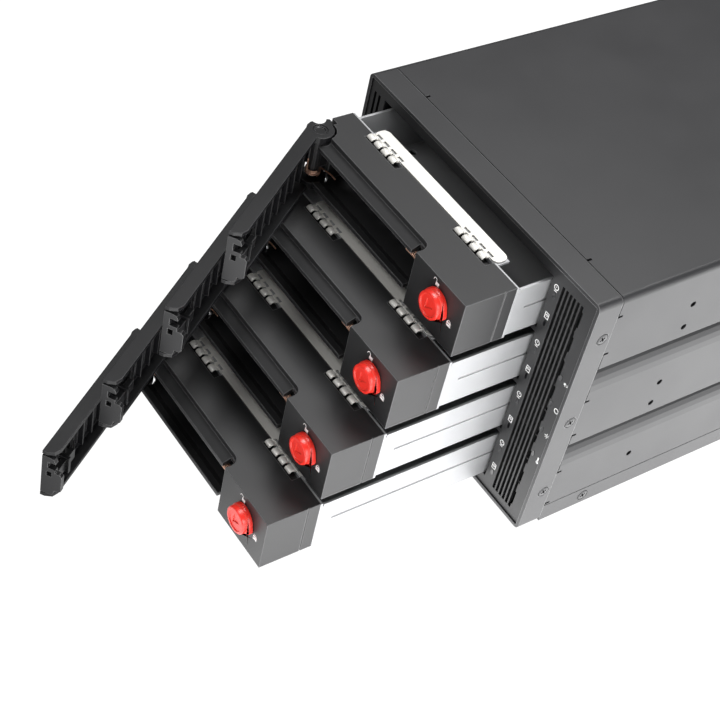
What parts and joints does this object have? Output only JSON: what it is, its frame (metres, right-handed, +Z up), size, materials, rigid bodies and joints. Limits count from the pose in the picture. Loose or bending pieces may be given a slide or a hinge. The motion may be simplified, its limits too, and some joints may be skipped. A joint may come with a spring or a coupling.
{
  "type": "hot swap drive cage",
  "caption": "Steel box with sliding drive trays stacked behind a vented bezel, each with a hinged ventilated lever door, sprung latch and turning key lock, and a rear cooling fan",
  "frame": {"origin": "middle of the steel box's underside; the trays and the rear fan reach out beyond it", "axes": "X to the right across the trays, Y to the back, Z up"},
  "size_m": [0.146, 0.3835, 0.1243],
  "materials": {
    "powder_coat": "black powder coat, fine grain",
    "bezel_paint": "black powder coat on a cast ring",
    "fascia_plastic": "fine moulded texture, satin",
    "lamp_pipe": "clear moulded acrylic",
    "circuit_board": "green solder mask",
    "galvanised": "bright zinc-plated sheet",
    "socket_plastic": "glass-filled connector plastic",
    "power_plastic": "natural nylon",
    "fan_plastic": "smooth moulded plastic",
    "guard_wire": "bright plated wire",
    "screw_black": "black oxide",
    "tray_steel": "bright stamped sheet",
    "block_plastic": "fine spark-eroded texture",
    "strip_steel": "thin bright spring steel",
    "pin_steel": "turned steel",
    "spring_steel": "drawn spring wire",
    "door_plastic": "fine spark-eroded texture",
    "latch_plastic": "smooth moulded plastic",
    "knob_plastic": "bright red moulded plastic",
    "bolt_steel": "stamped steel"
  },
  "bodies": {
    "cage": {"outer_shell": "powder_coat", "base_plate": "powder_coat", "bezel_frame": "bezel_paint", "fascia_panel": "fascia_plastic", "light_pipes": "lamp_pipe", "lamp_board": "circuit_board", "left_guide": "galvanised", "right_guide": "galvanised", "backplane_board": "circuit_board", "drive_sockets": "socket_plastic", "data_ports": "socket_plastic", "power_ports": "power_plastic", "rear_panel": "powder_coat", "fan_frame": "fan_plastic", "fan_guard": "guard_wire", "fan_screws": "screw_black", "bezel_screws": "screw_black", "base_screws": "screw_black"},
    "rotor": {"fan_rotor": "fan_plastic"},
    "tray_1": {"tray_1_pan": "tray_steel", "tray_1_block": "block_plastic", "tray_1_ground_strip": "strip_steel", "tray_1_hinge_pin": "pin_steel", "tray_1_hinge_spring": "spring_steel", "tray_1_kick_spring": "spring_steel"},
    "door_1": {"tray_1_door": "door_plastic"},
    "latch_1": {"tray_1_latch": "latch_plastic"},
    "knob_1": {"tray_1_knob": "knob_plastic"},
    "bolt_1": {"tray_1_bolt": "bolt_steel"},
    "tray_2": {"tray_2_pan": "tray_steel", "tray_2_block": "block_plastic", "tray_2_ground_strip": "strip_steel", "tray_2_hinge_pin": "pin_steel", "tray_2_hinge_spring": "spring_steel", "tray_2_kick_spring": "spring_steel"},
    "door_2": {"tray_2_door": "door_plastic"},
    "latch_2": {"tray_2_latch": "latch_plastic"},
    "knob_2": {"tray_2_knob": "knob_plastic"},
    "bolt_2": {"tray_2_bolt": "bolt_steel"},
    "tray_3": {"tray_3_pan": "tray_steel", "tray_3_block": "block_plastic", "tray_3_ground_strip": "strip_steel", "tray_3_hinge_pin": "pin_steel", "tray_3_hinge_spring": "spring_steel", "tray_3_kick_spring": "spring_steel"},
    "door_3": {"tray_3_door": "door_plastic"},
    "latch_3": {"tray_3_latch": "latch_plastic"},
    "knob_3": {"tray_3_knob": "knob_plastic"},
    "bolt_3": {"tray_3_bolt": "bolt_steel"},
    "tray_4": {"tray_4_pan": "tray_steel", "tray_4_block": "block_plastic", "tray_4_ground_strip": "strip_steel", "tray_4_hinge_pin": "pin_steel", "tray_4_hinge_spring": "spring_steel", "tray_4_kick_spring": "spring_steel"},
    "door_4": {"tray_4_door": "door_plastic"},
    "latch_4": {"tray_4_latch": "latch_plastic"},
    "knob_4": {"tray_4_knob": "knob_plastic"},
    "bolt_4": {"tray_4_bolt": "bolt_steel"}
  },
  "joints": [
    {"name": "tray_1_slide", "type": "slide", "parent": "cage", "child": "tray_1", "axis": [0, -1, 0], "range_m": [-0.0392, 0.1008]},
    {"name": "door_1_hinge", "type": "hinge", "parent": "tray_1", "child": "door_1", "pos_m": [-0.0562, -0.1286, 0.1047], "axis": [0, 0, -1], "range_deg": [-55.6, 0], "stiffness_Nm_per_rad": 0.004, "springref_deg": 34.38},
    {"name": "latch_1_slide", "type": "slide", "parent": "door_1", "child": "latch_1", "axis": [0.565, -0.8251, 0], "range_m": [-0.0022, 0], "stiffness_N_per_m": 300, "springref_m": 0.001},
    {"name": "knob_1_turn", "type": "hinge", "parent": "tray_1", "child": "knob_1", "pos_m": [0.0333, -0.1342, 0.1071], "axis": [0, 1, 0], "range_deg": [0, 90]},
    {"name": "bolt_1_throw", "type": "slide", "parent": "tray_1", "child": "bolt_1", "axis": [-1, 0, 0], "range_m": [0, 0.0034]},
    {"name": "tray_2_slide", "type": "slide", "parent": "cage", "child": "tray_2", "axis": [0, -1, 0], "range_m": [-0.062, 0.078]},
    {"name": "door_2_hinge", "type": "hinge", "parent": "tray_2", "child": "door_2", "pos_m": [-0.0562, -0.1514, 0.0764], "axis": [0, 0, -1], "range_deg": [-55.6, 0], "stiffness_Nm_per_rad": 0.004, "springref_deg": 34.38},
    {"name": "latch_2_slide", "type": "slide", "parent": "door_2", "child": "latch_2", "axis": [0.565, -0.8251, 0], "range_m": [-0.0022, 0], "stiffness_N_per_m": 300, "springref_m": 0.001},
    {"name": "knob_2_turn", "type": "hinge", "parent": "tray_2", "child": "knob_2", "pos_m": [0.0333, -0.157, 0.0788], "axis": [0, 1, 0], "range_deg": [0, 90]},
    {"name": "bolt_2_throw", "type": "slide", "parent": "tray_2", "child": "bolt_2", "axis": [-1, 0, 0], "range_m": [0, 0.0034]},
    {"name": "tray_3_slide", "type": "slide", "parent": "cage", "child": "tray_3", "axis": [0, -1, 0], "range_m": [-0.0848, 0.0552]},
    {"name": "door_3_hinge", "type": "hinge", "parent": "tray_3", "child": "door_3", "pos_m": [-0.0562, -0.1742, 0.0481], "axis": [0, 0, -1], "range_deg": [-55.6, 0], "stiffness_Nm_per_rad": 0.004, "springref_deg": 34.38},
    {"name": "latch_3_slide", "type": "slide", "parent": "door_3", "child": "latch_3", "axis": [0.565, -0.8251, 0], "range_m": [-0.0022, 0], "stiffness_N_per_m": 300, "springref_m": 0.001},
    {"name": "knob_3_turn", "type": "hinge", "parent": "tray_3", "child": "knob_3", "pos_m": [0.0333, -0.1798, 0.0505], "axis": [0, 1, 0], "range_deg": [0, 90]},
    {"name": "bolt_3_throw", "type": "slide", "parent": "tray_3", "child": "bolt_3", "axis": [-1, 0, 0], "range_m": [0, 0.0034]},
    {"name": "tray_4_slide", "type": "slide", "parent": "cage", "child": "tray_4", "axis": [0, -1, 0], "range_m": [-0.1076, 0.0324]},
    {"name": "door_4_hinge", "type": "hinge", "parent": "tray_4", "child": "door_4", "pos_m": [-0.0562, -0.197, 0.0198], "axis": [0, 0, -1], "range_deg": [-55.6, 0], "stiffness_Nm_per_rad": 0.004, "springref_deg": 34.38},
    {"name": "latch_4_slide", "type": "slide", "parent": "door_4", "child": "latch_4", "axis": [0.565, -0.8251, 0], "range_m": [-0.0022, 0], "stiffness_N_per_m": 300, "springref_m": 0.001},
    {"name": "knob_4_turn", "type": "hinge", "parent": "tray_4", "child": "knob_4", "pos_m": [0.0333, -0.2026, 0.0222], "axis": [0, 1, 0], "range_deg": [0, 90]},
    {"name": "bolt_4_throw", "type": "slide", "parent": "tray_4", "child": "bolt_4", "axis": [-1, 0, 0], "range_m": [0, 0.0034]},
    {"name": "fan_spin", "type": "hinge", "parent": "cage", "child": "rotor", "pos_m": [-0.008, 0.1075, 0.062], "axis": [0, 1, 0], "continuous": true}
  ],
  "couplings": [
    {"joint": "knob_1_turn", "follows": "bolt_1_throw", "rad_per_m": 462},
    {"joint": "knob_2_turn", "follows": "bolt_2_throw", "rad_per_m": 462},
    {"joint": "knob_3_turn", "follows": "bolt_3_throw", "rad_per_m": 462},
    {"joint": "knob_4_turn", "follows": "bolt_4_throw", "rad_per_m": 462}
  ]
}
